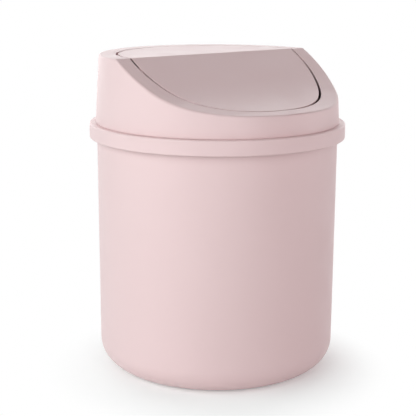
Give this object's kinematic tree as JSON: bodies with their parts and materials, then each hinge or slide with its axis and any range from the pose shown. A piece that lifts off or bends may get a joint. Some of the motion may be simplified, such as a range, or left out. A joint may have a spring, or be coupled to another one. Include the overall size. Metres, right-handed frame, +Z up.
{
  "type": "desktop swing-lid bin",
  "caption": "Round desktop bin: a tapered bucket with a turned-down rim, a lift-off hood sloping to a low front, and a bent round flap that swings in on hidden pins.",
  "frame": {"origin": "middle of the foot, on the surface that the bin stands on", "axes": "+Z up, -Y to the front where the lid slopes down, +X to the right for someone facing the front"},
  "size_m": [0.186, 0.186, 0.2296],
  "materials": {
    "bin_plastic": "satin moulded polypropylene, pale dusty pink",
    "pin_plastic": "natural white moulded plastic"
  },
  "bodies": {
    "bucket": {"bucket": "bin_plastic"},
    "hood": {"hood": "bin_plastic"},
    "flap": {"flap": "bin_plastic", "pivot_pin_left": "pin_plastic", "pivot_pin_right": "pin_plastic"}
  },
  "joints": [
    {"name": "hood_lift", "type": "slide", "parent": "bucket", "child": "hood", "axis": [0, 0, 1], "range_m": [0, 0.09]},
    {"name": "flap_swing", "type": "hinge", "parent": "hood", "child": "flap", "pos_m": [0, -0.006, 0.21919], "axis": [1, 0, 0], "range_deg": [0, 80]}
  ]
}
